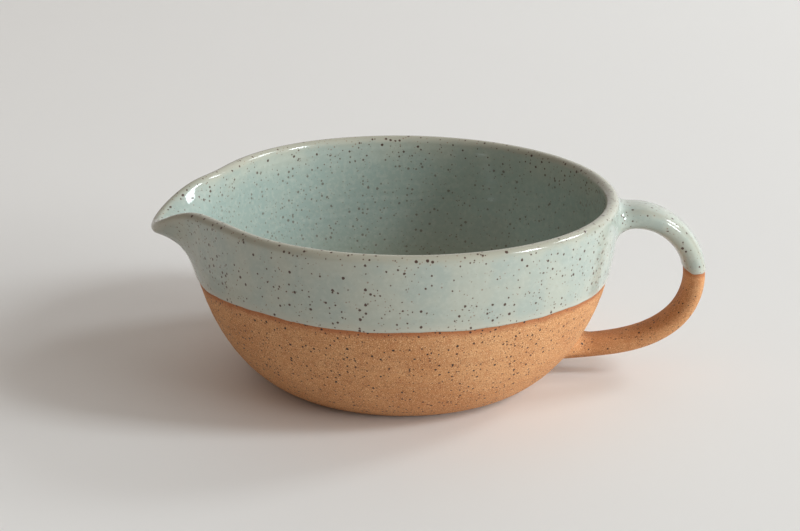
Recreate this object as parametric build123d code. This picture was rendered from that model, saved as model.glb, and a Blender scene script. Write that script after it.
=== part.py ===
from build123d import *
import os
from math import cos, exp, hypot, radians, sin

# One-handled stoneware batter bowl: a thrown bowl with a pinched pouring spout,
# a pulled strap handle welded on with two blended coils of clay, and three coats
# of glaze.  Millimetres.  The origin is the centre of the foot on the table,
# +Z is up, the handle points along +X and the spout points to about -X.

os.makedirs("parts", exist_ok=True)

# ---- driving dimensions -------------------------------------------------------
RIM_RADIUS = 94.6          # bare clay, at the widest part of the wall
HEIGHT = 83.6              # bare clay, at the top of the lip
FOOT_RADIUS = 56.0
LIP_WALL = 5.4             # wall thickness at the lip, which is fully rounded
BASE_WALL = 7.2            # wall thickness low down
FLOOR = 7.6                # height of the inside floor
FLOOR_RADIUS = 44.0        # flat middle of the inside floor
RECESS_RADIUS = 47.0       # shallow turned recess inside the foot ring
RECESS_DEPTH = 1.6
FOOT_EASE = 0.8            # eased inner edge of the foot ring
CURVE_TOP = 2.27           # how soon the wall turns upright
CURVE_FOOT = 1.5           # how round the wall is just above the foot

GLAZE = 0.4                # thickness of the fired glaze
GLAZE_LINE = 50.3          # height to which the rim was dipped

SPOUT_AZIMUTH = 185.2      # degrees about +Z from the handle
SPOUT_REACH = 14.3         # how far the tip stands out past the round rim
SPOUT_DROP = 15.9          # how far the tip droops below the rim
SPOUT_SPREAD = 13.8        # degrees, half width of the tongue
DROP_SPREAD = 17.3         # degrees, half width of the stretch that droops
SPOUT_SHAPE = 2.15         # 1 is a sharp point, 2 a round tongue, 3 a blunt one
SPOUT_ROOT = 36.0          # height where the spout starts to leave the wall
PINCH = 2.1                # how far the rim is pushed in each side of the spout
PINCH_OFFSET = 30.4        # degrees from the middle of the spout
PINCH_SPREAD = 18.4
SHOULDER = 4.4             # rise of the rim each side of the tongue
SHOULDER_OFFSET = 13.0
SHOULDER_SPREAD = 8.7
REACH_GROWTH = 3.8         # how late, going up the wall, the tip stands out,
DROP_GROWTH = 1.7          # droops,
PINCH_GROWTH = 1.2         # is pushed in at its sides,
SHOULDER_GROWTH = 2.0      # and has its shoulders raised

HANDLE_TOP = 73.4          # height of the strap's middle where it leaves the rim
HANDLE_LOW = 11.6          # the same where it meets the lower wall
HANDLE_REACH = 130.0       # the strap's middle, furthest from the bowl's axis
STRAP_WIDTHS = (12.4, 7.4) # half the strap's width at its top and at its foot
STRAP_TAPER = 0.8          # below 1 the strap narrows sooner
STRAP_HALF = 4.6           # half the strap's thickness
WELD_ACROSS = 5.0          # how far each weld spreads sideways over the wall
WELD_ALONG = 2.6           # how far it spreads up and down the wall
WELD_EDGE = 0.3            # its thickness where it feathers out along the strap
WELD_FEATHER = 2.2         # how quickly it does so
UPPER_WELD = (0.0, 0.11)   # where it starts and ends, as shares of the strap
LOWER_WELD = (1.0, 0.82)

FLOOR_BLEND = 8.0          # width of the ring where the inside wall runs out
FLOOR_RISE = 0.25          # into the floor, and its height over the floor
MID_WALL = 0.5             # share of the wall at which liner and band glaze meet
INNER_WALL = 0.25          # nothing of the handle goes deeper than this share
CORE_RISE = 8.0            # how far a core runs on past the lip
CORE_TOP = 120.0           # height at which it ends, clear of the bowl

AROUND = 60                # stations around the bowl
UP = 10                    # stations up the wall
CROWDING = 1.6             # above 1 they lie closer together low down
LIP_STEPS = 5              # steps round the half circle of the lip
STRAP_STATIONS = 10
WELD_STEPS = 4
SLOPE_STEP = 0.2           # step over which the wall's slope is measured
LIP_MIDDLE = HEIGHT - LIP_WALL / 2


# ---- the thrown and pinched wall ------------------------------------------------
def bell(angle, spread, power=2.0):
    return exp(-(abs(angle) / spread) ** power)


def from_spout(azimuth):
    """Degrees from the middle of the spout, -180 to 180."""
    return (azimuth - SPOUT_AZIMUTH + 180.0) % 360.0 - 180.0


def round_radius(z):
    """Outer radius of the bowl as it was thrown, before the spout was pulled."""
    up = min(max(z / LIP_MIDDLE, 0.0), 1.0)
    swell = (1.0 - (1.0 - up) ** CURVE_TOP) ** (1.0 / CURVE_FOOT)
    return FOOT_RADIUS + (RIM_RADIUS - FOOT_RADIUS) * swell


def outer(z, azimuth):
    """Radius and height of the outer surface that was at height z when round."""
    angle = from_spout(azimuth)
    up = max((z - SPOUT_ROOT) / (LIP_MIDDLE - SPOUT_ROOT), 0.0)
    pull = bell(angle, SPOUT_SPREAD, SPOUT_SHAPE)
    droop = bell(angle, DROP_SPREAD, SPOUT_SHAPE)
    pinch = bell(abs(angle) - PINCH_OFFSET, PINCH_SPREAD)
    shoulder = bell(abs(angle) - SHOULDER_OFFSET, SHOULDER_SPREAD)
    reach = SPOUT_REACH * pull * up**REACH_GROWTH - PINCH * pinch * up**PINCH_GROWTH
    rise = SHOULDER * shoulder * up**SHOULDER_GROWTH - SPOUT_DROP * droop * up**DROP_GROWTH
    return round_radius(z) + reach, z + rise


def normal(z, azimuth):
    """Outward normal of that surface in the upright plane through the axis."""
    r0, z0 = outer(max(z - SLOPE_STEP, 0.0), azimuth)
    r1, z1 = outer(min(z + SLOPE_STEP, LIP_MIDDLE), azimuth)
    length = hypot(r1 - r0, z1 - z0)
    return (z1 - z0) / length, -(r1 - r0) / length


def thickness(z):
    return LIP_WALL + (BASE_WALL - LIP_WALL) * (1.0 - z / LIP_MIDDLE) ** 2


def at_depth(z, azimuth, depth):
    """Radius and height of the point that deep inside the outer surface."""
    radius, height = outer(z, azimuth)
    nr, nz = normal(z, azimuth)
    return radius - depth * nr, height - depth * nz


def lip(azimuth, turn, swell=0.0):
    """A point on the rounded lip, turn degrees inwards from the outer surface."""
    nr, nz = normal(LIP_MIDDLE, azimuth)
    radius, height = at_depth(LIP_MIDDLE, azimuth, LIP_WALL / 2)
    reach = LIP_WALL / 2 + swell
    side, rise = reach * cos(radians(turn)), reach * sin(radians(turn))
    return radius + side * nr - rise * nz, height + side * nz + rise * nr


def ring(station):
    """A closed curve round the bowl through station(azimuth) = (radius, height)."""
    points = []
    for i in range(AROUND):
        azimuth = 360.0 * i / AROUND
        radius, height = station(azimuth)
        x, y = radius * cos(radians(azimuth)), radius * sin(radians(azimuth))
        points.append((x, y, height))
    return Wire([Edge.make_spline(points, periodic=True)])


def heights(first=0):
    """Heights up the wall from station first, closer together where it turns."""
    return [LIP_MIDDLE * (i / UP) ** CROWDING for i in range(first, UP + 1)]


def vessel(swell=0.0):
    """The bowl's wall, lip and floor, grown by swell on every surface."""
    rings = [ring(lambda a, z=z: at_depth(z, a, -swell)) for z in heights()]
    for i in range(1, LIP_STEPS):
        rings.append(ring(lambda a, t=180.0 * i / LIP_STEPS: lip(a, t, swell)))
    for z in reversed(heights(2)):
        rings.append(ring(lambda a, z=z: at_depth(z, a, thickness(z) + swell)))
    floor = FLOOR + swell
    rings.append(ring(lambda a: (FLOOR_RADIUS + FLOOR_BLEND, floor + FLOOR_RISE)))
    rings.append(ring(lambda a: (FLOOR_RADIUS, floor)))
    return Solid.make_loft(rings)


def core(share):
    """All that lies deeper in the wall than that share of it, up past the lip."""

    def past_lip(azimuth):
        nr, nz = normal(LIP_MIDDLE, azimuth)
        radius, height = at_depth(LIP_MIDDLE, azimuth, share * LIP_WALL)
        return radius - CORE_RISE * nz, height + CORE_RISE * nr

    rings = [ring(lambda a, z=z: at_depth(z, a, share * thickness(z))) for z in heights()]
    rings.append(ring(past_lip))
    rings.append(ring(lambda a: (past_lip(a)[0], CORE_TOP)))
    return Solid.make_loft(rings)


def above_line(shape):
    """The part of a shape that was dipped in the glaze."""
    side = 4 * RIM_RADIUS
    dip = Pos(0, 0, GLAZE_LINE) * Box(side, side, side, align=(Align.CENTER, Align.CENTER, Align.MIN))
    return shape & dip


# ---- the pulled strap handle -----------------------------------------------------
def strap_path():
    """The middle of the strap, from inside the upper wall to inside the lower.

    It leaves the rim level, turns down in a round bow, and runs in low under
    the bowl's swell.
    """
    reach = HANDLE_REACH
    points = [
        (RIM_RADIUS - 3.0, 0, HANDLE_TOP - 0.3),
        (reach - 22.5, 0, HANDLE_TOP + 0.4),
        (reach - 8.5, 0, HANDLE_TOP - 7.3),
        (reach, 0, 48.0),
        (reach - 5.3, 0, HANDLE_LOW + 17.6),
        (reach - 21.0, 0, HANDLE_LOW + 6.0),
        (reach - 44.0, 0, HANDLE_LOW + 0.7),
        (FOOT_RADIUS + 4.0, 0, HANDLE_LOW - 2.2),
    ]
    return Edge.make_spline(points)


PATH = strap_path()


def half_width(t):
    """Half the strap's width at a share t of its length."""
    top, foot = STRAP_WIDTHS
    return top + (foot - top) * t**STRAP_TAPER


def strap_ring(t, wider=0.0, thicker=0.0):
    """An oval across the strap at a share t of its length."""
    plane = Plane(origin=PATH @ t, x_dir=(0, 1, 0), z_dir=PATH % t)
    return Wire([Edge.make_ellipse(half_width(t) + wider, STRAP_HALF + thicker, plane)])


def strap(swell=0.0):
    stations = [i / STRAP_STATIONS for i in range(STRAP_STATIONS + 1)]
    return Solid.make_loft([strap_ring(t, swell, swell) for t in stations])


def flare(start, end, swell=0.0):
    """A blended coil of clay: wide on the wall, feathered out along the strap."""
    rings = []
    for i in range(WELD_STEPS + 1):
        share = i / WELD_STEPS
        spread = (1.0 - share) ** WELD_FEATHER
        edge = WELD_EDGE + swell
        t = start + (end - start) * share
        rings.append(strap_ring(t, edge + WELD_ACROSS * spread, edge + WELD_ALONG * spread))
    return Solid.make_loft(rings)


# ---- the pieces ------------------------------------------------------------------
clay_bowl = vessel()
inside_wall = core(INNER_WALL)

recess = Pos(0, 0, RECESS_DEPTH / 2) * Cylinder(RECESS_RADIUS, RECESS_DEPTH)
bowl_body = clay_bowl - recess
inner_foot = bowl_body.edges().filter_by(GeomType.CIRCLE).sort_by(Axis.Z)[0]
bowl_body = bowl_body.chamfer(FOOT_EASE, FOOT_EASE, [inner_foot])

handle = strap() - inside_wall - clay_bowl
handle_upper_weld = flare(*UPPER_WELD) - inside_wall - clay_bowl - handle
handle_lower_weld = flare(*LOWER_WELD) - inside_wall - clay_bowl - handle

coat = vessel(GLAZE) - clay_bowl
mid_wall = core(MID_WALL)
liner_glaze = coat & mid_wall
grown_handle = strap(GLAZE) + flare(*UPPER_WELD, GLAZE)
handle_glaze = above_line(grown_handle - handle - handle_upper_weld - inside_wall - clay_bowl)
band_glaze = above_line(coat - mid_wall) - grown_handle

pieces = {
    "bowl_body": bowl_body,
    "handle": handle,
    "handle_upper_weld": handle_upper_weld,
    "handle_lower_weld": handle_lower_weld,
    "liner_glaze": liner_glaze,
    "band_glaze": band_glaze,
    "handle_glaze": handle_glaze,
}
for name, shape in pieces.items():
    print(name, len(shape.solids()), round(shape.volume), shape.is_valid)
    export_step(Compound(children=list(shape.solids())), f"parts/{name}.step")
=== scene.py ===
import bpy
import math
import numpy as np
from mathutils import Matrix, Vector


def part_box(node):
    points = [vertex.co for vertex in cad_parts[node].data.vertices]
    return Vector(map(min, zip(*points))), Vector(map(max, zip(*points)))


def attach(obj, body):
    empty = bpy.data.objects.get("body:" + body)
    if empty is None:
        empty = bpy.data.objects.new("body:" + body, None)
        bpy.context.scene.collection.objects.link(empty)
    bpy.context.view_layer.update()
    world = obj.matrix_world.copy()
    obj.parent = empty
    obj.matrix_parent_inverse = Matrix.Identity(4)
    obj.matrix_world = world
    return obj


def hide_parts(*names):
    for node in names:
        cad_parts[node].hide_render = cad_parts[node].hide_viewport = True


# Looks for a one-handled stoneware batter bowl.  Shapes are worked out in
# millimetres in the frame's own axes and turned into metres when a mesh is made.

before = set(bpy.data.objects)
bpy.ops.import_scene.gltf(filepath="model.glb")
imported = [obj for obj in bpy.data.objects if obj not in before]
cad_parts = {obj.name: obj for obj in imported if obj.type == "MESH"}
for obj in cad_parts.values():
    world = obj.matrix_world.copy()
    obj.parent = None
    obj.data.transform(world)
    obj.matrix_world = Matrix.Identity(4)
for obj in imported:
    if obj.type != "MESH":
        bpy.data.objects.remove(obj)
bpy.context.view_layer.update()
MM = 0.001


def node_box(name):
    """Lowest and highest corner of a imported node, in millimetres."""
    low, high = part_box(name)
    return np.array(low) / MM, np.array(high) / MM


# ---- sizes ---------------------------------------------------------------------
BODY_HIGH = node_box("bowl_body")[1]
STRAP_HIGH = node_box("handle")[1]
BAND_LOW, BAND_HIGH = node_box("band_glaze")

HEIGHT = BODY_HIGH[2]                   # top of the bare clay lip
RIM_RADIUS = 0.9975 * BODY_HIGH[1]      # the wall at its widest, before wobble
GLAZE = BAND_HIGH[2] - HEIGHT           # thickness of the fired glaze
GLAZE_LINE = BAND_LOW[2]                # height of its lower edge, before it tilts and waves
FOOT_RADIUS = 56.0
LIP_WALL = 5.4
BASE_WALL = 7.2
FLOOR = 7.6
FLOOR_RADIUS = 40.0
FLOOR_CENTRE = 1.5                      # radius of the innermost ring of the floor
FLOOR_EASE = 12.0                       # how far out the floor starts to turn up
LOW_TURN = 9.0                          # height at which the inside turns to the floor
LOW_PULL = 0.36                         # how strongly the wall's slope leads that turn
RECESS_DEPTH = 1.6
FOOT_LIFT = 0.3                         # how far the foot's outer corner is eased up
FOOT_LIFT_SPREAD = 1.2
CURVE_TOP = 2.27                        # powers of the wall's curve at its top and foot
CURVE_FOOT = 1.5
LIP_MIDDLE = HEIGHT - LIP_WALL / 2
LIP_ARC = LIP_WALL / 2 * math.pi / 2    # a quarter turn of the lip, along its surface
SEAM = LIP_MIDDLE - 4.0                 # where band and liner glaze meet, inside

# Angles from the spout are in degrees; reach, drop, pinch and shoulder in mm.
SPOUT_AZIMUTH = 185.2
SPOUT_REACH = 14.3
SPOUT_DROP = 15.9
SPOUT_SPREAD = 13.8
DROP_SPREAD = 17.3
SPOUT_SHAPE = 2.15
SPOUT_ROOT = 36.0                       # height at which the pinched spout starts
PINCH = 2.1
PINCH_OFFSET = 30.4
PINCH_SPREAD = 18.4
SHOULDER = 4.4
SHOULDER_OFFSET = 13.0
SHOULDER_SPREAD = 8.7
REACH_GROWTH = 3.8
DROP_GROWTH = 1.7
PINCH_GROWTH = 1.2
SHOULDER_GROWTH = 2.0
SLOPE_STEP = 0.2                        # step of the slopes that normals come from

# Waves: height in mm, waves per radian or per mm, and phase in radians.
OUT_OF_ROUND = ((0.14, 2, 0.7), (0.10, 3, 2.1), (0.05, 5, 4.0))
RINGS = ((0.045, 0.93, 0.0), (0.028, 1.71, 1.3))
RING_CLIMB = 0.9                        # mm that a throwing ring climbs per radian
RING_FADE = 0.4                         # how much the rings come and go
RINGS_FROM = 12.0                       # height above which they have their full depth
MARK_DEPTH = 0.16                       # the spiral on the inside floor
MARK_TURN = 0.62
MARK_RADIUS = 24.0
MARK_SPREAD = 20.0

LINE_TILT = 1.5                         # the dipped edge, from one side to the other
LINE_DROP = 0.2
DIP = 2.4                               # where it hangs lower, beside the spout
DIP_OFFSET = 18.0
DIP_SPREAD = 15.0
LINE_WAVES = ((0.26, 5, 0.4), (0.2, 9, 2.2), (0.13, 17, 1.0), (0.08, 31, 0.0), (0.05, 53, 0.6))
HANDLE_WAVES = ((-0.9, 1, 0.0), (0.35, 1, math.pi / 2), (0.3, 3, 0.8), (0.12, 7, 0.0))
BEAD = 0.12                             # extra glaze where it stopped running
BEAD_HEIGHT = 0.9
BEAD_SPREAD = 0.6
EDGE_ROUND = 0.28                       # how soon glaze reaches its full thickness
FAR = 40.0                              # stands for a glaze edge too far off to matter
THIN_REACH = 4.2                        # how far round the lip the glaze runs thin

HANDLE_TOP = 73.4
HANDLE_LOW = 11.6
STRAP_HALF = 4.6
HANDLE_REACH = STRAP_HIGH[0] - STRAP_HALF
STRAP_WIDTHS = (12.4, 7.4)              # half widths where it leaves and meets the wall
STRAP_TAPER = 0.8
STRAP_SWAY = 0.5                        # how far it wanders sideways
STRAP_RIDGE = 0.05                      # a ridge that the pulling hand left along its back
RIDGE_PLACE = -0.28
RIDGE_SPREAD = 0.45
STRAP_CORNER = 2.45                     # power of the strap's oval: 2 would be an ellipse
UPPER_END = 0.075                       # shares of the strap where the flares begin
LOWER_END = 0.80
STRAP_LENGTH = 150.0                    # roughly, from one end of its curve to the other
LOWEST_LINE = 0.62                      # share of the strap well past the glaze's edge
UPPER_SPREAD = (14.5, 10.6, 10.5)       # degrees sideways, mm up, mm down
LOWER_SPREAD = (19.0, 7.5, 6.0)
UPPER_CENTRE = HANDLE_TOP - 1.2
LOWER_CENTRE = HANDLE_LOW + 1.6
LANDING_DEPTH = 0.12                    # how far a flare's rim lies inside the wall
JOINT_SINK = -0.02                      # the upper joint's clay stays just under its glaze
JOINT_SWELL = 0.03                      # the lower joint's clay lies just over the strap
FLARE_LEAVE = 0.42                      # how far a flare follows the strap, then the wall
FLARE_ARRIVE = 0.46
FLARE_INNER = 0.82                      # size of the oval that it would run on to

COLUMNS = 432                           # columns of each mesh round the bowl
CROWDING = 3.2                          # how much closer together they are at the spout
CROWDING_SPREAD = 17.0
SIDES = 96                              # columns of each mesh round the strap
FLARE_STEPS = 22
EMBED = 0.08                            # how far hidden faces lie inside the clay
SHARP_ANGLE = math.radians(45)

# Camera: degrees round from straight in front, degrees up, degrees of roll.
CAMERA_AZIMUTH = 2.0
CAMERA_ELEVATION = 19.1
CAMERA_ROLL = 0.5
CAMERA_DISTANCE = 9.125 * HEIGHT
CAMERA_AIM = np.array([-1.1, 0.0, 0.575 * HEIGHT])


# ---- the thrown and pinched wall ---------------------------------------------
def bell(angle, spread, power=2.0):
    """1 at zero, falling smoothly to nothing beyond spread on both sides."""
    return np.exp(-(np.abs(angle) / spread) ** power)


def from_spout(azimuth):
    """Degrees round from the spout, between -180 and 180."""
    return (azimuth - SPOUT_AZIMUTH + 180.0) % 360.0 - 180.0


def waves(angle, terms, lead=0.0):
    """A sum of sines, each with its height, its waves per unit of angle and its phase."""
    return sum(height * np.sin(count * angle + phase + lead) for height, count, phase in terms)


def hand_wobble(z, azimuth):
    """Small errors of a hand-thrown wall: out of round, and soft throwing rings."""
    a = np.radians(azimuth)
    rings = waves(z + RING_CLIMB * a, RINGS)
    rings = rings * (1.0 - RING_FADE + RING_FADE * np.sin(0.21 * z + 2.0 * a))
    round_error = waves(a, OUT_OF_ROUND, math.pi / 2)
    return round_error * z / LIP_MIDDLE + rings * np.clip(z / RINGS_FROM, 0.0, 1.0)


def outer(z, azimuth, hand=1.0):
    """Radius and height of the outer surface that was at height z when round."""
    angle = from_spout(azimuth)
    up = np.clip((z - SPOUT_ROOT) / (LIP_MIDDLE - SPOUT_ROOT), 0.0, None)
    pull = bell(angle, SPOUT_SPREAD, SPOUT_SHAPE)
    droop = bell(angle, DROP_SPREAD, SPOUT_SHAPE)
    pinch = bell(np.abs(angle) - PINCH_OFFSET, PINCH_SPREAD)
    shoulder = bell(np.abs(angle) - SHOULDER_OFFSET, SHOULDER_SPREAD)
    rise = np.clip(z / LIP_MIDDLE, 0.0, 1.0)
    swell = (1.0 - (1.0 - rise) ** CURVE_TOP) ** (1.0 / CURVE_FOOT)
    radius = FOOT_RADIUS + (RIM_RADIUS - FOOT_RADIUS) * swell + hand * hand_wobble(z, azimuth)
    radius = radius + SPOUT_REACH * pull * up**REACH_GROWTH - PINCH * pinch * up**PINCH_GROWTH
    height = z - SPOUT_DROP * droop * up**DROP_GROWTH + SHOULDER * shoulder * up**SHOULDER_GROWTH
    return radius, height


def normal(z, azimuth):
    """The outward normal, as its radial and upward parts, of the wall without wobble."""
    r0, z0 = outer(np.maximum(z - SLOPE_STEP, 0.0), azimuth, 0.0)
    r1, z1 = outer(np.minimum(z + SLOPE_STEP, LIP_MIDDLE), azimuth, 0.0)
    length = np.hypot(r1 - r0, z1 - z0)
    return (z1 - z0) / length, -(r1 - r0) / length


def thickness(z):
    """Thickness of the clay wall, which grows towards the foot."""
    return LIP_WALL + (BASE_WALL - LIP_WALL) * (1.0 - z / LIP_MIDDLE) ** 2


def at_depth(z, azimuth, depth):
    """Radius and height of a point depth inside the outer surface."""
    radius, height = outer(z, azimuth)
    nr, nz = normal(z, azimuth)
    return radius - depth * nr, height - depth * nz


def lip(azimuth, turn, swell=0.0):
    """A point on the rounded lip, turn degrees inwards from the outer surface."""
    z = np.full_like(azimuth, LIP_MIDDLE)
    nr, nz = normal(z, azimuth)
    radius, height = at_depth(z, azimuth, LIP_WALL / 2)
    reach = LIP_WALL / 2 + swell
    side, up = reach * np.cos(np.radians(turn)), reach * np.sin(np.radians(turn))
    return radius + side * nr - up * nz, height + side * nz + up * nr


def cubic_weights(share):
    """Weights of a cubic curve's four guide points, at a share of its way."""
    return (1 - share) ** 3, 3 * share * (1 - share) ** 2, 3 * share**2 * (1 - share), share**3


def inside_low(share, azimuth, swell):
    """The inside from the wall, at share 0, round into the flat floor, at 1."""
    start = LOW_TURN
    above = start + 1.2
    r0, h0 = at_depth(np.full_like(azimuth, start), azimuth, thickness(start) + swell)
    r1, h1 = at_depth(np.full_like(azimuth, above), azimuth, thickness(above) + swell)
    reach = LOW_PULL * (r0 - FLOOR_RADIUS) / np.hypot(r1 - r0, h1 - h0)
    points = (
        (r0, h0),
        (r0 - reach * (r1 - r0), h0 - reach * (h1 - h0)),
        (FLOOR_RADIUS + FLOOR_EASE, FLOOR + swell),
        (FLOOR_RADIUS, FLOOR + swell),
    )
    a, b, c, d = cubic_weights(share)
    return tuple(a * p + b * q + c * s + d * t for p, q, s, t in zip(*points))


def column_azimuths():
    """Azimuths of the columns, closest together round the spout."""
    fine = np.linspace(0.0, 360.0, 7201)
    density = 1.0 + CROWDING * bell(from_spout(fine), CROWDING_SPREAD)
    total = np.concatenate([[0.0], np.cumsum((density[1:] + density[:-1]) / 2)])
    return np.interp(np.arange(COLUMNS) / COLUMNS * total[-1], total, fine)


AZIMUTHS = column_azimuths()


def ring(radius, height):
    """Points all round the bowl, one in each column."""
    a = np.radians(AZIMUTHS)
    radius = np.broadcast_to(radius, a.shape)
    height = np.broadcast_to(height, a.shape)
    return np.stack([radius * np.cos(a), radius * np.sin(a), height], axis=-1)


def glaze_edge(azimuth):
    """Height of the dipped edge: a tilted, slightly wavy line."""
    a = np.radians(azimuth)
    dip = DIP * bell(from_spout(azimuth) - DIP_OFFSET, DIP_SPREAD)
    return GLAZE_LINE - LINE_TILT * np.sin(a) - LINE_DROP - dip + waves(a, LINE_WAVES)


def glaze_depth(above):
    """Glaze thickness at a distance above its lower edge: a soft bead, then even."""
    edge = 1.0 - np.exp(-np.maximum(above, 0.0) / EDGE_ROUND)
    return GLAZE * edge + BEAD * bell(above - BEAD_HEIGHT, BEAD_SPREAD) * edge


# ---- meshes --------------------------------------------------------------------
def make_object(name, vertices, faces, material, attributes=None):
    """An object of vertices in millimetres, with values for its material to read."""
    mesh = bpy.data.meshes.new(name)
    mesh.from_pydata((np.asarray(vertices) * MM).tolist(), [], faces)
    mesh.validate()
    mesh.shade_smooth()
    mesh.set_sharp_from_angle(angle=SHARP_ANGLE)
    for key, values in (attributes or {}).items():
        layer = mesh.attributes.new(key, "FLOAT", "POINT")
        layer.data.foreach_set("value", np.asarray(values, dtype=np.float32))
    mesh.materials.append(material)
    piece = bpy.data.objects.new(name, mesh)
    bpy.context.collection.objects.link(piece)
    return piece


def grid_faces(rows, columns, closed_rows):
    """Quads of a grid whose columns wrap round, and whose rows may wrap as well."""
    bands = rows if closed_rows else rows - 1
    i, j = np.meshgrid(np.arange(bands), np.arange(columns), indexing="ij")
    k, m = (i + 1) % rows, (j + 1) % columns
    corners = [i * columns + j, i * columns + m, k * columns + m, k * columns + j]
    return np.stack([c.ravel() for c in corners], axis=-1).tolist()


def sheath(name, rings, material, attributes, closed_rows=False):
    """A mesh through closed rings.  Open ends are capped with a fan."""
    rows, columns = len(rings), len(rings[0])
    vertices = np.concatenate(rings)
    faces = grid_faces(rows, columns, closed_rows)
    if not closed_rows:
        first, last = len(vertices), len(vertices) + 1
        vertices = np.concatenate([vertices, [rings[0].mean(axis=0)], [rings[-1].mean(axis=0)]])
        for j in range(columns):
            m = (j + 1) % columns
            faces.append([first, m, j])
            base = (rows - 1) * columns
            faces.append([last, base + j, base + m])
        for key, values in attributes.items():
            attributes[key] = np.concatenate([values, [values[0], values[-1]]])
    return make_object(name, vertices, faces, material, attributes)


# ---- the bowl --------------------------------------------------------------------
def level_row(height):
    """Start heights on the round wall that end up at the given finished heights."""
    z = np.array(height, dtype=float)
    for _ in range(6):
        z = z + height - outer(z, AZIMUTHS)[1]
    return z


def floor_marks(radius):
    """The spiral that the thrower's finger leaves on the inside floor."""
    turn = np.radians(AZIMUTHS)
    return MARK_DEPTH * np.sin(MARK_TURN * radius + turn) * bell(radius - MARK_RADIUS, MARK_SPREAD)


def inside_rows(swell):
    """The inside from under the lip to the middle of the floor."""
    rows = []
    for z in np.linspace(SEAM, LOW_TURN, 76):
        level = np.full_like(AZIMUTHS, z)
        rows.append(ring(*at_depth(level, AZIMUTHS, thickness(z) + swell)))
    for share in np.linspace(0.0, 1.0, 26)[1:]:
        rows.append(ring(*inside_low(share, AZIMUTHS, swell)))
    for radius in np.linspace(FLOOR_RADIUS, FLOOR_CENTRE, 30)[1:]:
        rows.append(ring(radius, FLOOR + swell + floor_marks(radius)))
    return rows


def make_clay_body(material):
    """Thrown clay from the recess under the foot, over the lip, to the inside floor."""
    rows = []
    underside = (
        (14.0, RECESS_DEPTH), (32.0, RECESS_DEPTH), (44.0, RECESS_DEPTH), (46.4, 1.5), (47.0, 1.1),
        (47.4, 0.5), (48.0, 0.12), (48.9, 0.0), (51.5, 0.0), (53.8, 0.0), (54.9, 0.12),
    )
    for radius, height in underside:
        rows.append(ring(radius, height))
    above = np.linspace(GLAZE_LINE + 3.0, LIP_MIDDLE, 12)
    outside = np.concatenate([np.linspace(0.0, 1.0, 64) ** 1.25 * (GLAZE_LINE + 2.0), above])
    for z in outside:
        level = np.full_like(AZIMUTHS, z)
        radius, height = outer(level, AZIMUTHS)
        rows.append(ring(radius, height + FOOT_LIFT * bell(z, FOOT_LIFT_SPREAD)))
    for turn in np.linspace(0.0, 180.0, 11)[1:]:
        rows.append(ring(*lip(AZIMUTHS, turn)))
    rows += inside_rows(0.0)[::3]
    vertices = np.concatenate(rows)
    azimuth = np.degrees(np.arctan2(vertices[:, 1], vertices[:, 0]))
    under = glaze_edge(azimuth) - vertices[:, 2]
    return sheath("clay_body", rows, material, {"edge": under, "pulled": np.zeros_like(under)})


def lip_thinness(distance):
    """How far the glaze has thinned, at a distance from the top of the lip."""
    return np.exp(-(distance / THIN_REACH) ** 2)


def share_of_depth(height):
    """0 at the lip and above it, 1 at the floor of the bowl."""
    return np.clip((LIP_MIDDLE - height) / (LIP_MIDDLE - FLOOR), 0.0, 1.0)


def make_band_coat(material):
    """Glaze from its wavy lower edge outside, over the lip, to the seam inside."""
    rows, edge, thin = [], [], []
    line = level_row(glaze_edge(AZIMUTHS))
    shares = np.concatenate([np.linspace(0.0, 0.06, 12), np.linspace(0.06, 1.0, 46)[1:]])
    for share in shares:
        z = line + (LIP_MIDDLE - line) * share
        above = z - line
        rows.append(ring(*at_depth(z, AZIMUTHS, -glaze_depth(above))))
        edge.append(above)
        thin.append(lip_thinness(LIP_MIDDLE - z + LIP_ARC))
    total = LIP_MIDDLE - line
    for turn in np.linspace(0.0, 180.0, 19)[1:]:
        rows.append(ring(*lip(AZIMUTHS, turn, GLAZE)))
        edge.append(total)
        thin.append(lip_thinness(np.full_like(AZIMUTHS, abs(turn - 90.0) / 90.0 * LIP_ARC)))
    outside_and_lip = len(rows)
    for z in np.linspace(LIP_MIDDLE, SEAM, 6)[1:]:
        level = np.full_like(AZIMUTHS, z)
        rows.append(ring(*at_depth(level, AZIMUTHS, thickness(z) + GLAZE)))
        edge.append(total)
        thin.append(lip_thinness(LIP_MIDDLE - level + LIP_ARC))
    visible = len(rows)
    for z in np.linspace(SEAM, LIP_MIDDLE, 3):
        level = np.full_like(AZIMUTHS, z)
        rows.append(ring(*at_depth(level, AZIMUTHS, thickness(z) - EMBED)))
    for turn in np.linspace(180.0, 0.0, 9)[1:-1]:
        rows.append(ring(*lip(AZIMUTHS, turn, -EMBED)))
    for share in np.linspace(1.0, 0.0, 10):
        rows.append(ring(*at_depth(line + (LIP_MIDDLE - line) * share, AZIMUTHS, EMBED)))
    hidden = [np.zeros_like(AZIMUTHS)] * (len(rows) - visible)
    attributes = {"edge": np.concatenate(edge + hidden), "thin": np.concatenate(thin + hidden)}
    inside = np.arange(len(rows)) >= outside_and_lip
    attributes["inside_depth"] = np.repeat(inside, COLUMNS) * share_of_depth(np.concatenate(rows)[:, 2])
    return sheath("band_coat", rows, material, attributes, closed_rows=True)


def make_liner_coat(material):
    """Glaze inside, from the seam under the lip to the middle of the floor."""
    hidden = inside_rows(-EMBED)[::-1][::4] + inside_rows(-EMBED)[:1]
    shown = inside_rows(GLAZE)
    rows = hidden + shown
    height = np.concatenate(rows)[:, 2]
    thin = lip_thinness(np.maximum(LIP_MIDDLE - height, 0.0) + LIP_ARC)
    attributes = {"edge": np.full_like(height, FAR), "thin": thin, "inside_depth": share_of_depth(height)}
    return sheath("liner_coat", rows, material, attributes)


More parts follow.
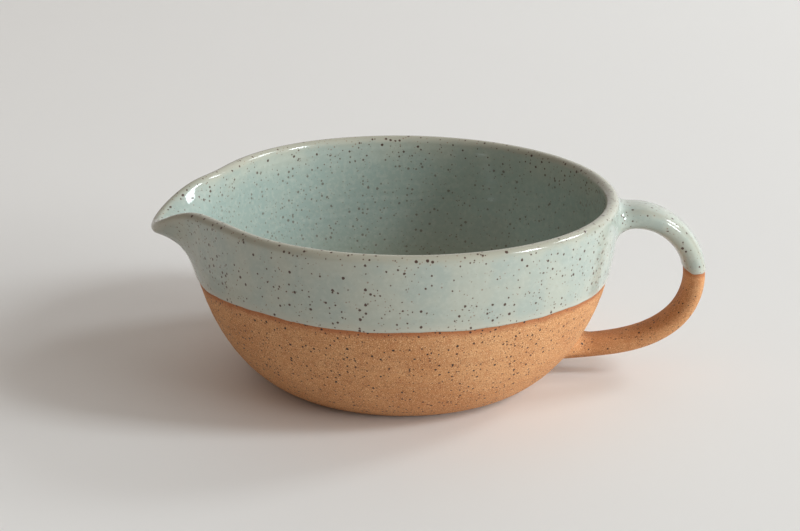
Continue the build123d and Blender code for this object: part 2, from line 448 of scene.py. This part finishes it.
# ---- the handle --------------------------------------------------------------------
def natural_spline(points, count):
    """Points of a natural cubic spline through the given ones, by chord length."""
    points = np.array(points)
    knots = np.concatenate([[0.0], np.cumsum(np.linalg.norm(np.diff(points, axis=0), axis=1))])
    step = np.diff(knots)
    size = len(points)
    matrix, right = np.eye(size), np.zeros_like(points)
    for i in range(1, size - 1):
        matrix[i, i - 1 : i + 2] = step[i - 1], 2 * (step[i - 1] + step[i]), step[i]
        slope_in = (points[i] - points[i - 1]) / step[i - 1]
        slope_out = (points[i + 1] - points[i]) / step[i]
        right[i] = 6 * (slope_out - slope_in)
    bend = np.linalg.solve(matrix, right)
    at = np.linspace(0.0, knots[-1], count)
    i = np.clip(np.searchsorted(knots, at, side="right") - 1, 0, size - 2)
    h, a, b = step[i][:, None], (knots[i + 1] - at)[:, None], (at - knots[i])[:, None]
    curve = (bend[i] * a**3 + bend[i + 1] * b**3) / (6 * h)
    curve += (points[i] / h - bend[i] * h / 6) * a + (points[i + 1] / h - bend[i + 1] * h / 6) * b
    return curve


STRAP_POINTS = (
    (RIM_RADIUS - 3.0, HANDLE_TOP - 0.3),
    (HANDLE_REACH - 22.5, HANDLE_TOP + 0.4),
    (HANDLE_REACH - 8.5, HANDLE_TOP - 7.3),
    (HANDLE_REACH, 48.0),
    (HANDLE_REACH - 5.3, HANDLE_LOW + 17.6),
    (HANDLE_REACH - 21.0, HANDLE_LOW + 6.0),
    (HANDLE_REACH - 44.0, HANDLE_LOW + 0.7),
    (FOOT_RADIUS + 4.0, HANDLE_LOW - 2.2),
)
STRAP_CURVE = natural_spline(STRAP_POINTS, 2001)
STRAP_SHARES = np.linspace(0.0, 1.0, len(STRAP_CURVE))
STRAP_TANGENTS = np.gradient(STRAP_CURVE, axis=0)
STRAP_TANGENTS /= np.linalg.norm(STRAP_TANGENTS, axis=1)[:, None]
ANGLES = np.arange(SIDES) * 360.0 / SIDES     # round the strap, from its +Y side
HANDLE_LINE = GLAZE_LINE + 0.2


def along_strap(t, table):
    """The two values of the strap's curve or tangents, at share t of its length."""
    return np.interp(t, STRAP_SHARES, table[:, 0]), np.interp(t, STRAP_SHARES, table[:, 1])


def strap_points(t, swell=0.0):
    """A ring of the strap: a soft-cornered oval, a little uneven, at share t."""
    t = np.broadcast_to(t, ANGLES.shape)
    x, z = along_strap(t, STRAP_CURVE)
    tx, tz = along_strap(t, STRAP_TANGENTS)
    turn = np.radians(ANGLES)
    width = STRAP_WIDTHS[0] + (STRAP_WIDTHS[1] - STRAP_WIDTHS[0]) * t**STRAP_TAPER
    width = width + 0.25 * np.sin(9.0 * t + 1.0) + swell
    thick = STRAP_HALF - 0.1 + 0.12 * np.sin(7.0 * t + 0.5) + swell
    power = 2.0 / STRAP_CORNER
    side = np.sign(np.cos(turn)) * np.abs(np.cos(turn)) ** power
    out = np.sign(np.sin(turn)) * np.abs(np.sin(turn)) ** power
    out = out * (1.0 + STRAP_RIDGE * bell(side - RIDGE_PLACE, RIDGE_SPREAD) * (out > 0))
    y = width * side + STRAP_SWAY * np.sin(3.1 * t) * (1.0 - t)
    return np.stack([x - thick * out * tz, y, z + thick * out * tx], axis=-1)


def on_wall(azimuth, height, depth):
    """Points on the bowl's outer surface, depth inside it.

    Heights past the middle of the lip run on over its round top.
    """
    past = np.maximum(height - LIP_MIDDLE, 0.0)
    radius, level = at_depth(np.minimum(height, LIP_MIDDLE), azimuth, depth)
    over_radius, over_level = lip(azimuth, np.degrees(past / (LIP_WALL / 2)), -depth)
    radius, level = np.where(past > 0, over_radius, radius), np.where(past > 0, over_level, level)
    a = np.radians(azimuth)
    return np.stack([radius * np.cos(a), radius * np.sin(a), level], axis=-1)


def flare_rows(t, centre, spread, steps, swell, depth):
    """Rings from the strap at share t onto an oval landing on the bowl's wall."""
    start = strap_points(t, swell)
    ahead = strap_points(t + (0.01 if t > 0.5 else -0.01), swell)
    leave = ahead - start
    leave /= np.linalg.norm(leave, axis=1)[:, None]
    turn = np.radians(ANGLES)
    rise = np.sin(turn) * (1.0 if t < 0.5 else -1.0)
    up = np.where(rise > 0, spread[1], spread[2])
    azimuth, height = spread[0] * np.cos(turn), centre + up * rise
    landing = on_wall(azimuth, height, depth)
    inner = on_wall(FLARE_INNER * azimuth, centre + FLARE_INNER * up * rise, depth)
    arrive = inner - landing
    arrive /= np.linalg.norm(arrive, axis=1)[:, None]
    gap = np.linalg.norm(landing - start, axis=1)[:, None]
    first, second = start + FLARE_LEAVE * gap * leave, landing + FLARE_ARRIVE * gap * arrive
    rows = []
    for share in np.linspace(0.0, 1.0, steps + 1):
        a, b, c, d = cubic_weights(share)
        rows.append(a * start + b * first + c * second + d * landing)
    return rows


def upper_flare(swell, steps=FLARE_STEPS):
    """From the wall to the strap."""
    depth = LANDING_DEPTH - swell
    return flare_rows(UPPER_END, UPPER_CENTRE, UPPER_SPREAD, steps, swell, depth)[::-1]


def lower_flare(swell):
    """From the strap to the wall."""
    return flare_rows(LOWER_END, LOWER_CENTRE, LOWER_SPREAD, FLARE_STEPS, swell, LANDING_DEPTH)


def handle_edge():
    """Height of the glaze's edge round the handle."""
    return HANDLE_LINE + waves(np.radians(ANGLES), HANDLE_WAVES)


def line_share():
    """Where along the strap the glaze's edge lies, for each column."""
    shares = np.linspace(UPPER_END + 0.1, LOWEST_LINE, 400)
    heights = np.array([strap_points(share)[:, 2] for share in shares])
    aim = handle_edge()
    return np.array([np.interp(-aim[j], -heights[:, j], shares) for j in range(SIDES)])


def make_strap(material):
    """The pulled strap, whose ends lie inside the wall and the lower joint."""
    turn = np.radians(ANGLES)
    azimuth = 0.55 * UPPER_SPREAD[0] * np.cos(turn)
    first = on_wall(azimuth, UPPER_CENTRE + 4.0 * np.sin(turn), 2.2)
    rows = [first] + [strap_points(share) for share in np.linspace(UPPER_END, 0.955, 150)]
    height = np.concatenate(rows)[:, 2]
    under = HANDLE_LINE - height - 0.9 * np.tile(np.sin(turn), len(rows))
    return sheath("strap", rows, material, {"edge": under, "pulled": np.ones_like(under)})


def make_joint(name, rows, material, wall_last):
    """Blended clay: like the pulled strap at one end, like the thrown wall at the other."""
    height = np.concatenate(rows)[:, 2]
    to_wall = np.linspace(0.0, 1.0, len(rows))
    if not wall_last:
        to_wall = to_wall[::-1]
    pulled = np.repeat(np.clip(1.15 - 1.3 * to_wall, 0.0, 1.0), SIDES)
    return sheath(name, rows, material, {"edge": HANDLE_LINE - height, "pulled": pulled})


def sunk(centre):
    """A small ring deep in the wall, which closes a joint out of sight."""
    turn = np.radians(ANGLES)
    return on_wall(4.0 * np.cos(turn), centre - 3.0 * np.sin(turn), 2.0)


def make_handle_coat(material):
    """Glaze from the wall round the upper joint, down the strap to its wavy edge."""
    shown = upper_flare(GLAZE)
    line = line_share()
    run = np.concatenate([np.linspace(0.0, 0.94, 60)[1:], np.linspace(0.94, 1.0, 12)[1:]])
    edge = [np.full_like(ANGLES, FAR)] * len(shown)
    flared = len(shown)
    for share in run:
        t = UPPER_END + (line - UPPER_END) * share
        above = (line - t) * STRAP_LENGTH
        shown.append(strap_points(t, glaze_depth(above)))
        edge.append(above)
    hidden = []
    for share in np.linspace(1.0, 0.0, 30):
        hidden.append(strap_points(UPPER_END + (line - UPPER_END) * share, -EMBED))
    hidden += upper_flare(-EMBED, 8)[::-1][1:]
    edge += [np.zeros_like(ANGLES)] * len(hidden)
    ridge = np.abs(np.sin(2 * np.radians(ANGLES))) ** 3
    thin = [0.55 * ridge] * len(shown) + [np.zeros_like(ANGLES)] * len(hidden)
    for i in range(flared):
        thin[i] = thin[i] * (i / flared)
    attributes = {"edge": np.concatenate(edge), "thin": np.concatenate(thin)}
    return sheath("handle_coat", shown + hidden, material, attributes, closed_rows=True)


# ---- materials ----------------------------------------------------------------------
CROWD_SIZE = 17.0                       # millimetres across the places where specks gather


class Shader:
    """A material's node tree, with short calls for the nodes used here."""

    def __init__(self, name):
        self.material = bpy.data.materials.new(name)
        self.material.use_nodes = True
        self.tree = self.material.node_tree
        self.surface = self.tree.nodes["Principled BSDF"]
        self.where = self.node("TexCoord").outputs["Object"]

    def node(self, kind, inputs=None, **settings):
        """A new node with those settings, and values or outputs joined to its inputs."""
        made = self.tree.nodes.new("ShaderNode" + kind)
        for key, value in settings.items():
            setattr(made, key, value)
        for key, value in (inputs or {}).items():
            self.join(value, made.inputs[key])
        return made

    def join(self, value, socket):
        """Links an output to a socket, or sets the socket to a number or colour."""
        if isinstance(value, bpy.types.NodeSocket):
            self.tree.links.new(value, socket)
        elif isinstance(value, tuple) and len(value) == 3 and socket.type == "RGBA":
            socket.default_value = (*value, 1.0)
        else:
            socket.default_value = value

    def math(self, operation, *values, clamp=False):
        """The result of a math node, for numbers or outputs."""
        made = self.node("Math", operation=operation, use_clamp=clamp)
        for socket, value in zip(made.inputs, values):
            self.join(value, socket)
        return made.outputs[0]

    def mix(self, factor, low, high):
        """The colour low at factor 0, high at factor 1."""
        made = self.node("Mix", data_type="RGBA")
        for index, value in ((0, factor), (6, low), (7, high)):
            self.join(value, made.inputs[index])
        return made.outputs[2]

    def ramp(self, value, low, high):
        """0 at low, 1 at high, smooth between."""
        made = self.node("MapRange", interpolation_type="SMOOTHSTEP")
        for index, item in ((0, value), (1, low), (2, high), (3, 0.0), (4, 1.0)):
            self.join(item, made.inputs[index])
        return made.outputs[0]

    def attribute(self, name):
        """A value stored at the mesh's vertices."""
        return self.node("Attribute", attribute_name=name).outputs["Fac"]

    def stretched(self, scale):
        """Object coordinates, scaled differently along each axis."""
        return self.node("Mapping", {"Vector": self.where, "Scale": scale}).outputs[0]

    def noise(self, size, detail=2.0, where=None, roughness=0.5):
        """Cloudy noise with features about size millimetres across."""
        inputs = {"Scale": 1.0 / (size * MM), "Detail": detail, "Roughness": roughness}
        inputs["Vector"] = where or self.where
        return self.node("TexNoise", inputs).outputs[0]

    def wandering(self, size, reach):
        """Object coordinates pushed about by noise, so that round things aren't."""
        cloud = self.node("TexNoise", {"Vector": self.where, "Scale": 1.0 / (size * MM), "Detail": 1.0})
        push = self.node("VectorMath", operation="MULTIPLY_ADD")
        self.join(cloud.outputs["Color"], push.inputs[0])
        push.inputs[1].default_value = (reach * MM,) * 3
        self.join(self.where, push.inputs[2])
        return push.outputs[0]

    def specks(self, spacing, smallest, largest, share, where, soft=0.12):
        """Specks of those radii, one in each cell of that spacing, in a share of the cells."""
        cell = self.node("TexVoronoi", {"Vector": where, "Scale": 1.0 / (spacing * MM)}, feature="F1")
        chance = self.node("SeparateColor", {"Color": cell.outputs["Color"]})
        lot = self.math("POWER", chance.outputs[0], 2.0)
        radius = self.math("MULTIPLY_ADD", lot, (largest - smallest) / spacing, smallest / spacing)
        inside = self.math("SUBTRACT", radius, cell.outputs["Distance"])
        mask = self.math("MULTIPLY", inside, spacing / soft, clamp=True)
        crowd = self.math("MULTIPLY", self.noise(CROWD_SIZE, 1.0), 2.0 * share)
        present = self.math("LESS_THAN", chance.outputs[1], crowd)
        return self.math("MULTIPLY", mask, present)

    def bump(self, height, distance, strength, below=None):
        """A normal bent by height, over another bump below it if there is one."""
        inputs = {"Height": height, "Distance": distance * MM, "Strength": strength}
        if below:
            inputs["Normal"] = below
        return self.node("Bump", inputs).outputs[0]


def clay_material():
    """Toasted sandy stoneware; the pulled handle is smoother and redder.

    It reads pulled, 1 on the handle and 0 on the wall, and edge, the distance
    below the glaze, where the clay flashed darker.
    """
    s = Shader("toasted_clay")
    pulled = s.attribute("pulled")
    pale = s.mix(pulled, (0.62, 0.315, 0.14), (0.60, 0.295, 0.13))
    middle = s.mix(pulled, (0.54, 0.248, 0.10), (0.54, 0.245, 0.10))
    red = s.mix(pulled, (0.475, 0.18, 0.07), (0.49, 0.195, 0.072))
    grain = s.math("MULTIPLY_ADD", pulled, -0.35, 1.1)
    redness = s.math("MULTIPLY_ADD", pulled, 0.2, 0.4)
    drift = s.noise(26.0, 2.0)
    mottle = s.noise(4.0, 3.0)
    colour = s.mix(s.ramp(drift, 0.35, 0.68), pale, middle)
    colour = s.mix(s.math("MULTIPLY", s.ramp(mottle, 0.45, 0.75), redness), colour, red)
    lines = s.noise(1.0, 3.0, s.stretched((0.02, 0.02, 0.55)), 0.6)
    colour = s.mix(s.math("MULTIPLY", s.ramp(lines, 0.35, 0.75), 0.22), colour, (0.30, 0.135, 0.07))
    sand = s.noise(0.42, 2.0, None, 0.7)
    light = s.math("MULTIPLY", s.ramp(sand, 0.52, 0.74), grain)
    dark = s.math("MULTIPLY", s.ramp(sand, 0.46, 0.28), s.math("MULTIPLY", grain, 0.85))
    colour = s.mix(light, colour, (0.90, 0.60, 0.34))
    colour = s.mix(dark, colour, (0.26, 0.11, 0.055))
    uneven = s.math("MULTIPLY", s.math("SUBTRACT", mottle, 0.5), 3.5)
    flash = s.ramp(s.math("ADD", s.attribute("edge"), uneven), 3.6, 0.2)
    colour = s.mix(s.math("MULTIPLY", flash, 0.8), colour, (0.38, 0.125, 0.05))
    wander = s.wandering(0.8, 0.5)
    iron = s.specks(1.7, 0.26, 0.64, 0.72, wander, 0.1)
    dust = s.specks(0.9, 0.16, 0.36, 0.75, wander, 0.1)
    colour = s.mix(s.math("MULTIPLY", dust, 0.65), colour, (0.13, 0.06, 0.04))
    colour = s.mix(s.math("MULTIPLY", iron, 0.93), colour, (0.022, 0.016, 0.018))
    s.join(colour, s.surface.inputs["Base Color"])
    rough = s.math("MULTIPLY_ADD", sand, 0.25, 0.68)
    rough = s.math("SUBTRACT", rough, s.math("MULTIPLY", iron, 0.35))
    s.join(rough, s.surface.inputs["Roughness"])
    s.surface.inputs["Specular IOR Level"].default_value = 0.25
    height = s.math("MULTIPLY_ADD", sand, 0.6, s.math("MULTIPLY", lines, 0.5))
    height = s.math("SUBTRACT", height, s.math("MULTIPLY", dust, 0.25))
    grit = s.bump(s.math("MULTIPLY", height, grain), 0.3, 0.55)
    s.join(grit, s.surface.inputs["Normal"])
    return s.material


def glaze_material():
    """Glossy celadon over iron-bearing clay, thin and beige on edges.

    It reads inside_depth, the share of the bowl's depth on the inside, which makes the inside
    bluer and, deeper down, darker and olive, partly painted shade; thin, 1 where
    the glaze ran thin; and edge, the distance from the glaze's lower edge.
    """
    s = Shader("celadon_glaze")
    cloud = s.noise(14.0, 3.0)
    mottle = s.noise(2.2, 3.0, None, 0.6)
    colour = s.mix(s.ramp(cloud, 0.36, 0.66), (0.375, 0.425, 0.38), (0.43, 0.455, 0.39))
    inside_depth = s.attribute("inside_depth")
    within = s.ramp(inside_depth, 0.0, 0.2)
    # Inside, the glaze turns bluer and darker, and from mid-depth down darker still and olive: partly
    # the liner's own colour and olive floor, partly painted shade of the bowl's inside.
    colour = s.mix(s.math("MULTIPLY", within, 0.75), colour, (0.315, 0.395, 0.36))
    colour = s.mix(s.math("MULTIPLY", s.ramp(inside_depth, 0.45, 0.9), 0.75), colour, (0.335, 0.355, 0.265))
    colour = s.mix(s.math("MULTIPLY", s.ramp(mottle, 0.42, 0.72), 0.35), colour, (0.50, 0.53, 0.465))
    uneven = s.math("SUBTRACT", mottle, 0.5)
    thin = s.math("ADD", s.attribute("thin"), s.math("MULTIPLY", uneven, 0.5))
    colour = s.mix(s.math("MULTIPLY", s.ramp(thin, 0.12, 0.95), 0.8), colour, (0.40, 0.375, 0.295))
    edge = s.math("ADD", s.attribute("edge"), s.math("MULTIPLY", uneven, 3.0))
    colour = s.mix(s.math("MULTIPLY", s.ramp(edge, 5.0, 0.4), 0.5), colour, (0.53, 0.50, 0.41))
    strength = s.math("MULTIPLY_ADD", within, -0.4, 0.95)
    wander = s.wandering(0.8, 0.4)
    faint = s.specks(1.45, 0.2, 0.5, 0.62, wander, 0.2)
    halo = s.specks(2.2, 0.6, 1.0, 0.74, wander, 0.5)
    iron = s.specks(2.2, 0.32, 0.74, 0.74, wander, 0.12)
    colour = s.mix(s.math("MULTIPLY", halo, 0.25), colour, (0.36, 0.27, 0.18))
    dim = s.math("MULTIPLY", strength, 0.6)
    colour = s.mix(s.math("MULTIPLY", faint, dim), colour, (0.21, 0.10, 0.065))
    colour = s.mix(s.math("MULTIPLY", iron, strength), colour, (0.055, 0.02, 0.014))
    s.join(colour, s.surface.inputs["Base Color"])
    rough = s.math("MULTIPLY_ADD", mottle, 0.08, 0.07)
    s.join(s.math("ADD", rough, s.math("MULTIPLY", iron, 0.2)), s.surface.inputs["Roughness"])
    s.surface.inputs["Specular IOR Level"].default_value = 0.5
    pool = s.noise(9.0, 1.0)
    soft = s.bump(pool, 0.5, 0.12)
    height = s.math("SUBTRACT", s.math("MULTIPLY", mottle, 0.25), s.math("MULTIPLY", iron, 0.6))
    s.join(s.bump(height, 0.09, 0.35, soft), s.surface.inputs["Normal"])
    return s.material


def table_material():
    """Matt pale paper, very slightly cloudy."""
    s = Shader("table_paper")
    tone = s.math("MULTIPLY", s.noise(220.0, 2.0), 0.06)
    s.join(s.mix(tone, (0.82, 0.80, 0.78), (0.70, 0.67, 0.64)), s.surface.inputs["Base Color"])
    s.surface.inputs["Roughness"].default_value = 0.6
    s.surface.inputs["Specular IOR Level"].default_value = 0.2
    return s.material


# ---- build -----------------------------------------------------------------------------
clay = clay_material()
glaze = glaze_material()

upper_rows = [sunk(UPPER_CENTRE)] + upper_flare(JOINT_SINK)
lower_rows = lower_flare(JOINT_SWELL) + [sunk(LOWER_CENTRE)]

pieces = {
    "bowl_body": (make_clay_body(clay), "stoneware"),
    "handle": (make_strap(clay), "stoneware"),
    "handle_upper_weld": (make_joint("upper_joint", upper_rows, clay, False), "stoneware"),
    "handle_lower_weld": (make_joint("lower_joint", lower_rows, clay, True), "stoneware"),
    "liner_glaze": (make_liner_coat(glaze), "glaze"),
    "band_glaze": (make_band_coat(glaze), "glaze"),
    "handle_glaze": (make_handle_coat(glaze), "glaze"),
}
for node, (piece, slot) in pieces.items():
    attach(piece, "root")
    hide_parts(node)


# ---- stage, camera and light --------------------------------------------------------------
def make_sweep():
    """A pale table that rises in a wide curve well behind the bowl."""
    half, flat, bend = 2600.0, 1400.0, 900.0
    profile = [(-half, 0.0), (-1200.0, 0.0), (0.0, 0.0), (flat, 0.0)]
    for turn in np.linspace(0.0, 90.0, 19)[1:]:
        a = math.radians(turn)
        profile.append((flat + bend * math.sin(a), bend - bend * math.cos(a)))
    profile.append((flat + bend, half))
    vertices, faces = [], []
    for y, z in profile:
        vertices += [(-half, y, z), (half, y, z)]
    for i in range(len(profile) - 1):
        faces.append([2 * i, 2 * i + 1, 2 * i + 3, 2 * i + 2])
    return make_object("table", vertices, faces, table_material())


make_sweep()


def camera_axes():
    """The camera's back, right and up directions."""
    azimuth, elevation = math.radians(CAMERA_AZIMUTH), math.radians(CAMERA_ELEVATION)
    level = math.cos(elevation)
    back = np.array([math.sin(azimuth) * level, -math.cos(azimuth) * level, math.sin(elevation)])
    right = np.cross([0.0, 0.0, 1.0], back)
    right /= np.linalg.norm(right)
    up = np.cross(back, right)
    roll = math.radians(CAMERA_ROLL)
    rolled_right = right * math.cos(roll) + up * math.sin(roll)
    return back, rolled_right, up * math.cos(roll) - right * math.sin(roll)


back, right, up = camera_axes()
place = CAMERA_AIM + CAMERA_DISTANCE * back
lens = bpy.data.cameras.new("camera")
lens.lens = 76.5
lens.sensor_width = 36.0
lens.clip_start = 0.01
camera = bpy.data.objects.new("camera", lens)
pose = np.eye(4)
pose[:3] = np.column_stack([right, up, back, place * MM])
camera.matrix_world = Matrix(pose.tolist())
bpy.context.collection.objects.link(camera)
bpy.context.scene.camera = camera


def window(name, direction, distance, size, power, colour, mirrored=True):
    """A rectangular light that looks at the bowl, and may be mirrored in its glaze."""
    light = bpy.data.lights.new(name, "AREA")
    light.shape = "RECTANGLE"
    light.size, light.size_y = size
    light.energy = power
    light.color = colour
    lamp = bpy.data.objects.new(name, light)
    towards = Vector(direction).normalized()
    lamp.location = towards * distance
    lamp.rotation_euler = towards.to_track_quat("Z", "Y").to_euler()
    lamp.visible_glossy = mirrored
    bpy.context.collection.objects.link(lamp)


DAYLIGHT = (0.91, 1.0, 1.05)
WALL_LIGHT = (0.95, 1.0, 1.02)
PANE = (0.75, 1.0)                      # metres wide and high
window("front_window", (0.79, -0.18, 0.58), 4.0, PANE, 64.0, DAYLIGHT)
window("back_window", (0.72, 0.34, 0.60), 4.0, PANE, 32.0, DAYLIGHT)
window("bright_wall", (0.90, -0.30, 0.22), 8.0, (6.4, 2.9), 495.0, WALL_LIGHT, mirrored=False)

world = bpy.data.worlds.new("room")
world.use_nodes = True
background = world.node_tree.nodes["Background"]
background.inputs["Color"].default_value = (1.0, 0.89, 0.80, 1.0)
background.inputs["Strength"].default_value = 0.325
bpy.context.scene.world = world
bpy.context.scene.view_settings.view_transform = "Standard"
